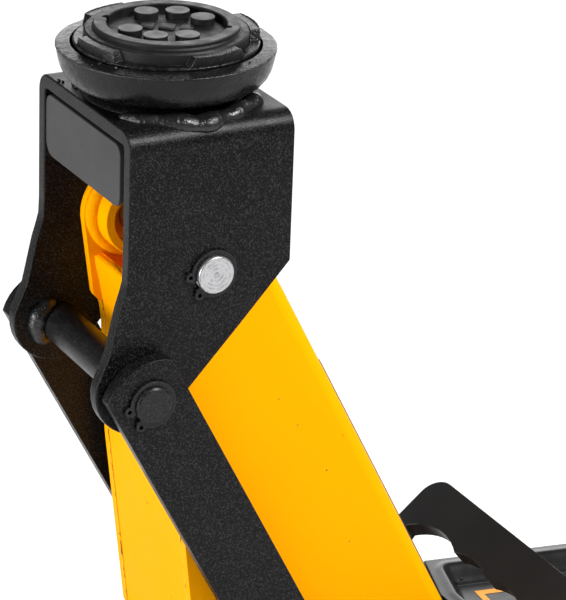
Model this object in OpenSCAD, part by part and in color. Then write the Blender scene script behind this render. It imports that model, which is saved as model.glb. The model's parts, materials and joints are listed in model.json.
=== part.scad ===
// Hydraulic trolley jack of the high-lift type, saddle carrier held level by parallel links.
// +X points to the saddle end, +Y to the jack's left, +Z up; the floor is Z = 0.
// Stored with the arm raised: that is the rest position of every joint.

/* [Lift geometry] */
// Distance from the arm's pivot to the carrier pin
arm_len = 330; // [250:400]
// Angle of the raised arm above the floor
arm_angle = 62.2; // [0:70]
// Height of the arm's pivot above the floor
pivot_z = 130; // [110:150]
// How far the link pins lie in front of the arm pins
link_dx = 38.3; // [30:45]
// How far the link pins lie below the arm pins
link_dz = 60.1; // [50:70]
// Distance of the ram's lever pin from the arm's pivot
lever_r = 48; // [40:55]
// Angle of the lever pin below the horizontal, arm raised
lever_angle = 56.35; // [50:60]
// Radius of the carrier pin and of the link pins
pin_r = 10; // [8:12]

/* [Saddle carrier] */
// Half of the carrier's outer width
carrier_y = 54.2; // [50:60]
// Thickness of the carrier's bent plate
carrier_t = 7.5; // [4:8]
// Height of the carrier's top above the carrier pin
carrier_top = 79.2; // [70:90]
// Outer radius of the carrier's two bends
carrier_bend = 10; // [8:14]

/* [Saddle] */
// Radius of the bowl's rim
bowl_r = 55.7; // [50:60]
// Height of the rim above the carrier pin
bowl_top = 105.2; // [100:110]
// Radius of the rubber pad's raised ring
pad_r = 36.9; // [34:40]
// Height of the pad's top above the carrier pin
pad_top = 115.3; // [110:118]

/* [Arm and links] */
// Half of the arm's outer width
arm_y = 46; // [44:50]
// Thickness of the arm's pressed channel
arm_t = 5; // [4:6]
// Height of the channel's back above the arm's centre line
arm_back = 32.2; // [28:34]
// Inner face of a link bar
link_y = 57.5; // [56:60]
// Thickness of a link bar
link_t = 8; // [5:9]
// Width of a link bar
link_w = 40; // [34:42]
// Radius of a link bar's rounded end
link_end_r = 28.5; // [25:32]
// Distance of that end's centre short of the link pin
link_end_in = 6.1; // [0:10]

/* [Chassis] */
// Outer face of a side plate
side_y = 95; // [90:100]
// Thickness of a side plate
side_t = 5; // [4:6]
// Front axle, forward of the arm's pivot
axle_x = 275; // [250:290]
// Radius of a front wheel
wheel_r = 45; // [40:50]
// Radius of a rear castor wheel
castor_r = 25; // [22:28]
// Slope of the top cover, downwards to the rear
cover_slope = 6.2; // [4:8]
// Slope of the carry handle's face
grip_slope = 39.46; // [35:45]

/* [Pump and handle] */
// Height of the ram's axis
ram_z = 86; // [80:90]
// Distance of the handle's pivot behind the arm's pivot
socket_x = 350; // [330:380]
// Height of the handle's pivot
socket_z = 150; // [140:160]
// Angle of the handle above the horizontal
handle_angle = 50; // [40:60]
// Length of the handle from its pivot
handle_len = 700; // [500:900]

/* [Hidden] */
$fn = 64;
fit = 0.06;
gap = 0.3;
pivot_x = 249.69;
tip_dx = arm_len * cos(arm_angle);
tip_dz = arm_len * sin(arm_angle);
side_in = side_y - side_t;
lever_dx = lever_r * cos(lever_angle);
lever_dz = -lever_r * sin(lever_angle);
lever_u = lever_r * cos(lever_angle + arm_angle);
lever_w = -lever_r * sin(lever_angle + arm_angle);
saddle_dx = 1.4;
grip_screw_x = -40.6;
grip_screw_z = 150.4;
castor_x = -392;
castor_y = 136;
castor_trail = 14;
cover_len = 129;
roller_u = 28 * cos(handle_angle) - 4 * sin(handle_angle);
roller_w = 28 * sin(handle_angle) + 4 * cos(handle_angle);
cover_x = -76.1;
cover_z = 134.6;

black = [0.06, 0.06, 0.06];
grey = [0.3, 0.3, 0.31];
yellow = [0.98, 0.7, 0.02];
zinc = [0.72, 0.72, 0.7];

// Points of a circular arc, in degrees
function arc(x, z, r, a0, a1, n) =
    [for (i = [0:n]) let (a = a0 + (a1 - a0) * i / n) [x + r * cos(a), z + r * sin(a)]];

// Places: the arm's pivot, the carrier pin, and the arm's own axes along its length
module at_pivot() translate([pivot_x, 0, pivot_z]) children();
module at_tip() translate([pivot_x + tip_dx, 0, pivot_z + tip_dz]) children();
module in_arm() at_pivot() rotate([0, -arm_angle, 0]) children();
module on_floor(x, z) translate([pivot_x + x, 0, z]) children();
module in_handle() on_floor(-socket_x, socket_z) rotate([0, handle_angle - 180, 0]) children();

// An XZ outline as a plate from y0 to y1, a shaft along Y and a shaft along X
module plate(y0, y1) translate([0, y1, 0]) rotate([90, 0, 0]) linear_extrude(y1 - y0) children();
module shaft(r, y0, y1) translate([0, y1, 0]) rotate([90, 0, 0]) cylinder(r = r, h = y1 - y0);
module bar(r, x0, x1) translate([x0, 0, 0]) rotate([0, 90, 0]) cylinder(r = r, h = x1 - x0);
module both_sides() { children(); mirror([0, 1, 0]) children(); }

// A profile of radius and distance, turned about Y and about X
module turned_y() rotate([-90, 0, 0]) rotate_extrude() children();
module turned_x() rotate([0, 90, 0]) rotate_extrude() children();

// A channel profile of Y and Z: back at the given height, legs down, rounded bends
module channel(y, top, t, r, depth, x0, x1)
    translate([x0, 0, 0]) rotate([90, 0, 90]) linear_extrude(x1 - x0) difference() {
        polygon(concat([[-y, -depth], [y, -depth]], arc(y - r, top - r, r, 0, 90, 6),
            arc(r - y, top - r, r, 90, 180, 6)));
        polygon(concat([[t - y, -depth - 1], [y - t, -depth - 1]],
            arc(y - r, top - r, r - t, 0, 90, 4), arc(r - y, top - r, r - t, 90, 180, 4)));
    }

// Hexagon across the flats, its thickness along Y
module hex_y(af, y0, y1) translate([0, y1, 0]) rotate([90, 0, 0])
    cylinder(d = af / cos(30), h = y1 - y0, $fn = 6);

// A round wire wound about X
module coil(r, wire, x0, x1, turns) {
    steps = turns * 16;
    sides = 6;
    pitch = (x1 - x0 - 2 * wire) / turns;
    points = [for (i = [0:steps], j = [0:sides - 1])
        let (a = i * 360 / 16, b = j * 360 / sides, q = r + wire * cos(b))
        [x0 + wire + pitch * i / 16 + wire * sin(b), q * cos(a), q * sin(a)]];
    walls = [for (i = [0:steps - 1], j = [0:sides - 1]) let (k = (j + 1) % sides)
        [i * sides + j, i * sides + k, (i + 1) * sides + k, (i + 1) * sides + j]];
    polyhedron(points, concat(walls, [[for (j = [sides - 1:-1:0]) j]],
        [[for (j = [0:sides - 1]) steps * sides + j]]));
}

// Retaining ring with two eyelets either side of its gap, its thickness along Y
module circlip(r, y0, y1, turn = -30) plate(y0, y1) rotate(turn) difference() {
    union() {
        circle(r = r + 2.6);
        for (a = [-26, 26]) rotate(a) translate([r + 3, 0]) circle(r = 2.6);
    }
    circle(r = r - 0.55);
    translate([r + 4, 0]) square([11, 4.4], center = true);
    for (a = [-26, 26]) rotate(a) translate([r + 3.2, 0]) circle(r = 1.2);
}

// ---------- Saddle ----------

module saddle_bowl() color(black) at_tip() translate([saddle_dx, 0, 0]) rotate_extrude()
    polygon([[0, 66], [17, 66], [18, 67], [18, 69.4], [16.8, 69.4], [16.8, 71.4], [18, 71.4],
        [18, 82.4], [37, 82.6], [42.4, 83.9], [46.8, 85.7], [50, 88], [52.2, 90.8], [53.6, 94],
        [54.6, 98], [bowl_r, 103.4], [bowl_r - 0.4, 104.2], [48.4, bowl_top], [48.4, 97.5],
        [44, 94.2], [30, 90.5], [0, 90.5]]);

module saddle_insert() color(black) at_tip() translate([saddle_dx, 0, 0]) {
    rotate_extrude() polygon([[0, 90.6], [30, 90.6], [43.4, 94.3], [47, 98.4],
        [47, 105.9], [46.3, 106.6], [41.9, 106.6], [41.9, 98], [0, 98]]);
    for (a = [11.5, 98.3, 174, 289]) intersection() {
        translate([0, 0, 106.4]) difference() {
            cylinder(r = 47, h = 5.4);
            translate([0, 0, -1]) cylinder(r = 41.9, h = 9);
        }
        rotate(a) translate([38, 0, 106.4]) rotate([90, 0, 90]) linear_extrude(12)
            polygon([[-15.8, 0], [15.8, 0], [13.4, 5.2], [-13.4, 5.2]]);
    }
}

module rubber_pad() color(black) at_tip() translate([saddle_dx, 0, 0]) {
    difference() {
        rotate_extrude() polygon([[0, 98.1], [41.6, 98.1], [41.6, 111.4], [40.8, 112.2],
            [pad_r + 0.8, 112.5], [pad_r, 113.3], [pad_r, pad_top - 0.6],
            [pad_r - 0.6, pad_top], [30.9, pad_top], [30.3, pad_top - 0.6], [30.3, 111.4],
            [0, 111.4]]);
        for (a = [143, 321]) rotate(a) translate([30.8, 0, 111.4]) cylinder(r = 2.4, h = 9);
    }
    for (a = [48.5, 228.5], b = [-44.5, 0, 44.5]) rotate(a + b) translate([21, 0, 111.2])
        cylinder(r = 6.1, h = pad_top - 111.2);
}

module saddle_clip() color(zinc) at_tip() translate([saddle_dx, 0, 69.6]) difference() {
    cylinder(r = 22, h = 1.6);
    translate([0, 0, -1]) cylinder(r = 17, h = 4);
    translate([10, -3, -1]) cube([14, 6, 4]);
}

// ---------- Saddle carrier ----------

module carrier_outline() polygon(concat([[-44.2, 90], [46.9, 90], [47, 10], [47.4, 1],
    [48.7, -4], [51.2, -12], [56.7, -36]], arc(39, -57, 25, 14, -160, 16),
    [[-16.1, -31.6], [-44.2, -0.6]]));

module saddle_bracket() color(black) at_tip() difference() {
    intersection() {
        channel(carrier_y, carrier_top, carrier_t, carrier_bend, 95, -60, 80);
        plate(-carrier_y - 5, carrier_y + 5) carrier_outline();
    }
    shaft(pin_r + fit, -70, 70);
    translate([link_dx, 0, -link_dz]) shaft(pin_r + fit, -70, 70);
    translate([saddle_dx, 0, 60]) cylinder(r = 18.3, h = 30);
}

// Rounded panel that stops short of the left plate
module bracket_front_plate() color(grey) at_tip() translate([41.2, -2.85, 52.8])
    rotate([90, 0, 90]) linear_extrude(5) polygon(concat(arc(37.8, 10.5, 6, 0, 90, 6),
        arc(-37.8, 10.5, 6, 90, 180, 6), arc(-35.8, -8.5, 8, 180, 270, 6),
        arc(37.8, -10.5, 6, 270, 360, 6)));

module saddle_collar() color(black) at_tip() translate([saddle_dx, 0, 0]) rotate_extrude()
    polygon([[18 + fit, carrier_top], [43, carrier_top], [41.5, 81], [38.5, 82.1],
        [18 + fit, 82.1]]);

module tip_pin() color(zinc) at_tip() both_sides() turned_y() polygon([[0, 0], [pin_r, 0],
    [pin_r, 54.5], [pin_r - 0.8, 54.5], [pin_r - 0.8, 56.1], [pin_r, 56.1], [pin_r, 58],
    [pin_r - 0.6, 58.6], [0, 58.6]]);

module tip_circlips() color(black) at_tip() both_sides() circlip(pin_r, 54.6, 56, -27);

module link_pin() color(black) at_tip() translate([link_dx, 0, -link_dz]) both_sides()
    turned_y() polygon([[0, 0], [pin_r + 0.5, 0], [pin_r + 0.5, 46.5], [pin_r, 46.5],
        [pin_r, 65.9], [pin_r - 0.8, 65.9], [pin_r - 0.8, 67.5], [pin_r, 67.5], [pin_r, 68.8],
        [pin_r - 1, 69.8], [0, 69.8]]);

module link_circlips() color(black) at_tip() translate([link_dx, 0, -link_dz]) both_sides()
    circlip(pin_r, 66, 67.4, -34);

// ---------- Parallel links ----------

module link_bar() color(black) translate([pivot_x + link_dx, 0, pivot_z - link_dz])
    rotate([0, -arm_angle, 0]) difference() {
        half = asin(link_w / 2 / link_end_r);
        plate(link_y, link_y + link_t) polygon(concat(
            arc(arm_len - link_end_in, 0, link_end_r, -half, half, 10),
            arc(link_end_in, 0, link_end_r, 180 - half, 180 + half, 10)));
        shaft(pin_r + fit, 0, 90);
        translate([arm_len, 0, 0]) shaft(pin_r + 0.1, 0, 90);
    }

module link_bar_left() link_bar();
module link_bar_right() mirror([0, 1, 0]) link_bar();

module anchor_pins() color(zinc) on_floor(link_dx, pivot_z - link_dz) both_sides() {
    turned_y() polygon([[0, 51.6], [pin_r - 1, 51.6], [pin_r, 52.6], [pin_r, side_y + 0.2],
        [0, side_y + 0.2]]);
    hex_y(30, side_y + 0.2, side_y + 9);
    circlip(pin_r + 0.6, 54.6, 57.2);
}

module anchor_sleeves() color(black) on_floor(link_dx, pivot_z - link_dz) both_sides()
    difference() {
        shaft(15, link_y + link_t + gap, side_in);
        shaft(pin_r + fit, 0, 99);
    }

// ---------- Lift arm ----------

// Side view of the arm: x along its centre line, z towards its back
module arm_outline() polygon(concat([[arm_len - 16, arm_back]],
    arc(arm_len, 0, 26.7, 66, -74, 16),
    [[300, -39.2], [297.6, -39.3], [292.5, -37.9], [289.5, -38.6], [282, -41.2], [221, -69.9],
    [121.3, -108], [111, -109], [98, -105]], arc(lever_u, lever_w, 18, -68, -200, 10),
    arc(0, 0, 36, 215, 63.4, 14)));

module arm_channel() color(yellow) in_arm() difference() {
    intersection() {
        channel(arm_y, arm_back, arm_t, 8, 130, -60, 370);
        plate(-arm_y - 5, arm_y + 5) arm_outline();
    }
    translate([292, arm_t - arm_y, 0]) cube([90, 2 * (arm_y - arm_t), 50]);
    translate([-60, arm_t - arm_y, 0]) cube([114, 2 * (arm_y - arm_t), 50]);
    shaft(20, -60, 60);
    translate([arm_len, 0, 0]) shaft(pin_r + 0.1, -60, 60);
    translate([lever_u, 0, lever_w]) shaft(8 + fit, -60, 60);
}

module arm_front_plate() color(yellow) in_arm() plate(arm_t - arm_y, arm_y - arm_t)
    polygon([[319, -29], [289, -38.3], [282, -40.9], [221, -69.6], [121.2, -107.7],
        [119.4, -103], [219.1, -64.9], [280.1, -36.2], [287.4, -33.4], [317.6, -24.2]]);

module arm_tip_bushes() color(yellow) in_arm() translate([arm_len, 0, 0]) both_sides()
    turned_y() polygon([[pin_r + fit, 34], [15.8, 34], [15.8, 26.5], [20.5, 26.5],
        [21, 27], [21, 38.5], [23.5, arm_y - arm_t], [pin_r + fit, arm_y - arm_t]]);

module arm_pivot_tube() color(yellow) in_arm() difference() {
    shaft(20, -side_in + 0.5, side_in - 0.5);
    shaft(12.5 + fit, -99, 99);
}

module lever_pin() color(zinc) in_arm() translate([lever_u, 0, lever_w]) shaft(8, -50, 50);

module pivot_shaft() color(zinc) at_pivot() shaft(12.5, -108, 108);

module pivot_nuts() color(zinc) at_pivot() both_sides() difference() {
    union() {
        shaft(22, side_y, side_y + 2.5);
        hex_y(36, side_y + 2.5, side_y + 11);
    }
    shaft(12.5 + fit, 60, 120);
}

// ---------- Ram ----------

module ram_yoke() color(grey) on_floor(lever_dx, 0) both_sides() difference() {
    union() {
        plate(26, 38) polygon([[-14, 64], [12, 64], [18, 70], [18, 101], [12, 107], [-14, 107]]);
        translate([-26, 0, 64]) cube([12, 38, 43]);
    }
    translate([-8.9, 20, 73]) cube([17.8, 30, 26.4]);
}

module ram_rod() color(zinc) on_floor(0, ram_z) bar(15, -225, lever_dx - 26);

module ram_cylinder() color(grey) on_floor(0, ram_z) difference() {
    bar(21, -330, -158);
    bar(15 + fit, -292, -150);
}

module reservoir() color(black) on_floor(0, ram_z) difference() {
    bar(38, -330, -206);
    bar(35, -331, -214);
    bar(21 + fit, -331, -200);
}

module return_spring_left() color(zinc) on_floor(0, ram_z) translate([0, 31, 0])
    coil(4.6, 0.9, -205.7, lever_dx - 26.3, 20);
module return_spring_right() color(zinc) on_floor(0, ram_z) translate([0, -31, 0])
    coil(4.6, 0.9, -205.7, lever_dx - 26.3, 20);

// ---------- Pump ----------

module pump_block() color(grey) on_floor(-socket_x, 0) difference() {
    union() {
        translate([-50, -80, 28]) cube([70, 160, 12]);
        translate([-50, -45, 28]) cube([70, 90, 80]);
        both_sides() plate(26, 36) polygon(concat([[-22, 100], [20, 100]],
            arc(0, socket_z, 14, -5, 185, 12)));
    }
    translate([0, 0, socket_z]) shaft(6 + fit, -50, 50);
    translate([0, 0, 55]) cylinder(r = 6 + fit, h = 80);
    translate([-28, 0, 60]) cylinder(r = 7 + fit, h = 80);
}

module pump_bolts() color(zinc) on_floor(-socket_x, 40)
    for (x = [-38, 8], y = [-64, 64]) translate([x, y, 0]) cylinder(d = 18, h = 8, $fn = 6);

module filler_plug() color(black) on_floor(-268, ram_z) difference() {
    translate([0, 0, 36]) cylinder(r = 6, h = 7.6);
    bar(38 + fit, -20, 20);
}

module pump_plunger() color(zinc) on_floor(-socket_x - 28, 0) {
    translate([0, 0, 78]) cylinder(r = 7, h = 55);
    translate([0, 0, 132.6]) cylinder(r = 13, h = 6);
}

module plunger_spring() color(zinc) on_floor(-socket_x - 28, 0) rotate([0, -90, 0])
    coil(10, 1, 108, 132.6, 5);

module release_spindle() color(zinc) on_floor(-socket_x, 0) {
    translate([0, 0, 58]) cylinder(r = 6, h = socket_z - 64);
    translate([0, 0, socket_z]) sphere(r = 9);
}

// ---------- Handle ----------

module handle_socket() color(black) in_handle() difference() {
    union() {
        bar(23, 40, 150);
        both_sides() plate(17, 25.6) polygon(concat(arc(0, 0, 13, 150, 290, 8),
            [[46, -20], [72, -18], [72, 18], [40, 21]], arc(roller_u, roller_w, 10, 40, 160, 8)));
    }
    bar(19.08, 30, 151);
    shaft(6 + fit, -50, 50);
    translate([roller_u, 0, roller_w]) shaft(4 + fit, -50, 50);
}

module socket_pins() color(zinc) on_floor(-socket_x, socket_z) both_sides() {
    shaft(6, 17.2, 38);
    shaft(9, 36.3, 40);
}

module pump_roller() color(zinc) in_handle() translate([roller_u, 0, roller_w]) {
    shaft(7, -16.6, 16.6);
    shaft(4, -25.6, 25.6);
}

module handle_lower_tube() color(black) in_handle() difference() {
    bar(19, 45, 420);
    bar(16.5, 44, 421);
}

module handle_upper_tube() color(black) in_handle() difference() {
    bar(16.4, 340, handle_len);
    bar(14, 339, handle_len - 3);
}

module foam_grip() color(black) in_handle() difference() {
    bar(22, handle_len - 190, handle_len + 4);
    bar(16.4, handle_len - 191, handle_len);
}

module drive_rod() color(zinc) in_handle() difference() {
    union() {
        bar(11.5, 6, 22);
        bar(7, 20, 50);
        bar(16.4, 48, 62);
    }
    sphere(r = 9.3);
}

// ---------- Chassis ----------

module side_outline() difference() {
    polygon(concat([[-440, 22], [250, 22]], arc(axle_x, 46, 32, -60, 90, 12),
        [[160, 92], [60, 130]], arc(0, pivot_z, 40, 20, 110, 10),
        [[-38, 163], [-50, 156], [-60, 148], [-70, 136.4], [-75.6, 131.3], [-211, 116.5],
        [-330, 97], [-440, 92]]));
    translate([axle_x, wheel_r]) circle(r = 8 + fit);
    translate([0, pivot_z]) circle(r = 12.5 + fit);
    translate([link_dx, pivot_z - link_dz]) circle(r = pin_r + fit);
    translate([grip_screw_x, grip_screw_z]) circle(r = 3 + fit);
}

module frame_side_left() color(black) on_floor(0, 0) plate(side_in, side_y) side_outline();
module frame_side_right() color(black) on_floor(0, 0) plate(-side_y, -side_in) side_outline();

module base_plate() color(black) on_floor(0, 0) {
    translate([-436, -side_in, 24]) cube([380, 2 * side_in, 4]);
    translate([-436, -side_in, 28]) cube([4, 2 * side_in, 30]);
}

// Rim on the side plates, sloping pocket walls, sunken panel and a front apron
module top_cover() color(black) on_floor(cover_x, cover_z) rotate([0, -cover_slope, 0])
    difference() {
        union() {
            translate([-cover_len, -side_y, -3]) cube([cover_len, 2 * side_y, 3]);
            translate([-2.5, gap - side_in, -30]) cube([2.5, 2 * (side_in - gap), 28]);
            pocket(0, 2.5, -11.5);
        }
        pocket(1, 0, -9);
    }

module pocket(rise, wall, floor_z) hull() {
    translate([5 - cover_len - wall, -84 - wall, 0])
        cube([cover_len - 10 + 2 * wall, 168 + 2 * wall, 0.01 + rise]);
    translate([12 - cover_len - wall, -77 - wall, floor_z])
        cube([cover_len - 24 + 2 * wall, 154 + 2 * wall, 0.01]);
}

module cover_screws() color(zinc) on_floor(cover_x, cover_z) rotate([0, -cover_slope, 0])
    for (x = [-58, -112], y = [-89.7, 89.7]) translate([x, y, 0]) cylinder(r = 3.4, h = 2);

// Flat moulding across the chassis with a scalloped finger opening
module grip_face() difference() {
    polygon(concat([[40, -side_y]], arc(14.4, 14.4 - side_y, 14.4, 270, 180, 8),
        arc(14.4, side_y - 14.4, 14.4, 180, 90, 8), [[40, side_y], [40, side_in - gap],
        [77, side_in - gap], [77, gap - side_in], [40, gap - side_in]]));
    polygon(concat([[90, -77], [58, -77], [46, -81]], arc(69, -55, 43.5, 221, 154, 12),
        arc(72.2, -17.8, 45.6, 203, 157.6, 8), arc(72.2, 17.8, 45.6, 202.4, 157, 8),
        arc(69, 55, 43.5, 206, 139, 12), [[46, 81], [58, 77], [90, 77]]));
}

module carry_handle() color(grey) difference() {
    on_floor(-82.2, 191.9) rotate([0, grip_slope, 0]) translate([0, 0, -11.5])
        linear_extrude(11.5) grip_face();
    on_floor(grip_screw_x, grip_screw_z) both_sides() shaft(3 + fit, side_in - 8, side_y);
}

module carry_screws() color(zinc) on_floor(grip_screw_x, grip_screw_z) both_sides() {
    shaft(3, side_in - 6, side_y);
    shaft(5.5, side_y, side_y + 3.5);
}

module castor_wings() color(black) on_floor(castor_x, 0) both_sides() difference() {
    translate([-40, side_y, 78]) cube([80, castor_y + 26 - side_y, 6]);
    translate([0, castor_y, 70]) cylinder(r = 6 + fit, h = 20);
}

// ---------- Wheels ----------

module front_wheel() color(black) on_floor(axle_x, wheel_r) turned_y() polygon([
    [8 + fit, 99], [16, 99], [16, 103], [33, 103], [36, 100], [43.5, 100], [wheel_r, 101.5],
    [wheel_r, 131.5], [43.5, 133], [36, 133], [33, 130], [16, 130], [16, 133.4],
    [8 + fit, 133.4]]);
module front_wheel_left() front_wheel();
module front_wheel_right() mirror([0, 1, 0]) front_wheel();

module axle_bolts() color(zinc) on_floor(axle_x, wheel_r) both_sides() {
    shaft(8, 78, 136);
    shaft(13, side_y, 98.7);
    hex_y(24, 133.8, 142);
}

module axle_nuts() color(zinc) on_floor(axle_x, wheel_r) both_sides() difference() {
    hex_y(24, 81, side_in);
    shaft(8 + fit, 70, 99);
}

module castor_fork() color(zinc) on_floor(castor_x, 0) translate([0, castor_y, 0]) difference() {
    union() {
        cylinder(r = 20, h = 77.7);
        for (y = [-16, 12.6]) plate(y, y + 3.4) polygon(concat([[20, 77.7], [-20, 77.7]],
            arc(-castor_trail, castor_r, 9, 175, 345, 8)));
        cylinder(r = 6, h = 90);
        translate([0, 0, 84.3]) cylinder(r = 11, h = 4);
    }
    translate([0, 0, -1]) cylinder(r = 30, h = 18);
    translate([-60, -12.6, -1]) cube([100, 25.2, 74.4]);
    translate([-60, -30, -1]) cube([100, 14, 75]);
    translate([-60, 16, -1]) cube([100, 14, 75]);
    translate([-castor_trail, 0, castor_r]) shaft(5 + fit, -30, 30);
}
module castor_fork_left() castor_fork();
module castor_fork_right() mirror([0, 1, 0]) castor_fork();

module castor_axle() color(zinc) on_floor(castor_x - castor_trail, castor_r)
    translate([0, castor_y, 0]) {
        shaft(5, -19, 19);
        shaft(8, 16, 19.4);
        shaft(8, -19.4, -16);
    }
module castor_axle_left() castor_axle();
module castor_axle_right() mirror([0, 1, 0]) castor_axle();

module castor_wheel() color(black) on_floor(castor_x - castor_trail, castor_r)
    translate([0, castor_y, 0]) turned_y() polygon([[5 + fit, -12], [10, -12], [10, -8],
        [20, -8], [21, -10], [23.5, -10], [castor_r, -8.5], [castor_r, 8.5], [23.5, 10], [21, 10],
        [20, 8], [10, 8], [10, 12], [5 + fit, 12]]);
module castor_wheel_left() castor_wheel();
module castor_wheel_right() mirror([0, 1, 0]) castor_wheel();

saddle_bowl();
saddle_insert();
rubber_pad();
saddle_clip();
saddle_bracket();
bracket_front_plate();
saddle_collar();
tip_pin();
tip_circlips();
link_pin();
link_circlips();
link_bar_left();
link_bar_right();
arm_channel();
arm_front_plate();
arm_tip_bushes();
arm_pivot_tube();
lever_pin();
ram_yoke();
ram_rod();
ram_cylinder();
reservoir();
pump_block();
pump_bolts();
filler_plug();
return_spring_left();
return_spring_right();
frame_side_left();
frame_side_right();
base_plate();
top_cover();
cover_screws();
carry_handle();
carry_screws();
pivot_shaft();
pivot_nuts();
anchor_pins();
anchor_sleeves();
axle_bolts();
axle_nuts();
front_wheel_left();
front_wheel_right();
castor_wings();
castor_fork_left();
castor_fork_right();
castor_axle_left();
castor_axle_right();
castor_wheel_left();
castor_wheel_right();
handle_socket();
socket_pins();
pump_roller();
handle_lower_tube();
handle_upper_tube();
foam_grip();
drive_rod();
pump_plunger();
plunger_spring();
release_spindle();
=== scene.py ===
import json
import math

import bmesh
import bpy
from mathutils import Matrix, Vector, noise


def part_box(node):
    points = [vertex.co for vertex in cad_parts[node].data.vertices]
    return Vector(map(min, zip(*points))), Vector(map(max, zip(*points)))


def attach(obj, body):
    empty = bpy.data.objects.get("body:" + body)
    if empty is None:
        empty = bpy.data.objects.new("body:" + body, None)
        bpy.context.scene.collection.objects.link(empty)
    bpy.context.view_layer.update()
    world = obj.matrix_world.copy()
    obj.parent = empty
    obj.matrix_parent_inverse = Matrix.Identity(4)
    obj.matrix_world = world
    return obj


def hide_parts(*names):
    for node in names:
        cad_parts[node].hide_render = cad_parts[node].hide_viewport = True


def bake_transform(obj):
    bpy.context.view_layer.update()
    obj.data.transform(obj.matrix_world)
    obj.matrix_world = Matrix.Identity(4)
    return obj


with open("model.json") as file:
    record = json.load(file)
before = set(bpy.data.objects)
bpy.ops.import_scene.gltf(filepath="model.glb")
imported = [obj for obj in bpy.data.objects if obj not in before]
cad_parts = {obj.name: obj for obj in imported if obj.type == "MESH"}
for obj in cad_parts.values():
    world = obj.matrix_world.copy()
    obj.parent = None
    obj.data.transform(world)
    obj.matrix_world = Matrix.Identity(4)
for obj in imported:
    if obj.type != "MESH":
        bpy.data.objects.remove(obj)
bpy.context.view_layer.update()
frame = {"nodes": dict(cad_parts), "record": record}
nodes = frame["nodes"]
MM = 0.001
X, Y, Z = Vector((1, 0, 0)), Vector((0, 1, 0)), Vector((0, 0, 1))


def middle(node):
    """Centre of a CAD node's box."""
    low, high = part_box(node)
    return (low + high) / 2


# Places that the rest of the script works from
PIN = middle("tip_pin")
LINK_PIN = middle("link_pin")
PIVOT = middle("pivot_shaft")
SADDLE = Vector((PIN.x + 1.4 * MM, 0, 0))
PAD_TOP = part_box("rubber_pad")[1].z
CARRIER_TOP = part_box("saddle_bracket")[1].z
CARRIER_Y = 54.2 * MM
CARRIER_IN = 46
CARRIER_BEND = 10 * MM
ARM_Y = 46 * MM
ARM_DIR = (PIN - PIVOT).normalized()
ARM_BACK = Vector((-ARM_DIR.z, 0, ARM_DIR.x))
SIDE_Y = 95 * MM
SIDE_IN = 90 * MM


def arm_point(along, across, back):
    """A point in the lift arm's own axes, in millimetres from its pivot."""
    return PIVOT + (ARM_DIR * along + Y * across + ARM_BACK * back) * MM


def around(centre, radius, degrees, axis="z"):
    """A point on a circle about a vertical axis, or about a crosswise one."""
    c, s = math.cos(math.radians(degrees)) * radius, math.sin(math.radians(degrees)) * radius
    return centre + (Vector((c, s, 0)) if axis == "z" else Vector((c, 0, s)))


# ---------- Camera, light and floor ----------

def make_camera():
    """Long lens from the front left, a little rolled."""
    azimuth, elevation, roll = (math.radians(a) for a in (150.73, 23.22, 2.15))
    back = Vector((math.sin(azimuth) * math.cos(elevation),
                   -math.cos(azimuth) * math.cos(elevation), math.sin(elevation)))
    right = (-back).cross(Z).normalized()
    up = right.cross(-back)
    axes = Matrix((right * math.cos(roll) + up * math.sin(roll),
                   up * math.cos(roll) - right * math.sin(roll), back)).transposed()
    data = bpy.data.cameras.new("camera")
    data.lens = 179.66
    data.sensor_width = 36
    data.clip_start, data.clip_end = 0.05, 50
    camera = bpy.data.objects.new("camera", data)
    bpy.context.scene.collection.objects.link(camera)
    camera.rotation_mode = "QUATERNION"
    camera.location = PIN + Vector((644.6, 1276.9, 579.3)) * MM
    camera.rotation_quaternion = axes.to_quaternion()
    bpy.context.scene.camera = camera


def area_light(name, place, aim, size, power):
    data = bpy.data.lights.new(name, "AREA")
    data.shape, data.size, data.energy = "DISK", size, power
    light = bpy.data.objects.new(name, data)
    bpy.context.scene.collection.objects.link(light)
    light.location = place
    light.rotation_euler = (Vector(aim) - Vector(place)).to_track_quat("-Z", "Y").to_euler()


def make_studio():
    """White room light, three soft boxes and a pale floor."""
    bpy.context.scene.view_settings.view_transform = "Standard"
    world = bpy.data.worlds.new("studio")
    bpy.context.scene.world = world
    world.use_nodes = True
    world.node_tree.nodes["Background"].inputs["Color"].default_value = (1, 1, 1, 1)
    world.node_tree.nodes["Background"].inputs["Strength"].default_value = 0.18
    area_light("key", PIN + Vector((-0.84, 1.1, 1.44)), PIN, 0.6, 56)
    area_light("front", PIN + Vector((1.9, 0.1, 0.3)), PIN, 1.1, 38)
    area_light("backdrop", PIN + Vector((-1.5, -2.2, 0.8)), PIN, 2.4, 34)
    bpy.ops.mesh.primitive_grid_add(size=40, x_subdivisions=2, y_subdivisions=2)
    floor = bpy.context.object
    floor.name = "floor"
    s = Shader("floor_white")
    s.set(Base_Color=s.ramp(s.noise(3), (0.3, 0.80), (0.7, 0.82)), Roughness=0.9,
          Specular_IOR_Level=0.1, Emission_Color=(1, 1, 1), Emission_Strength=0.26)
    floor.data.materials.append(s.material)


# ---------- Node helpers ----------

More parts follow.
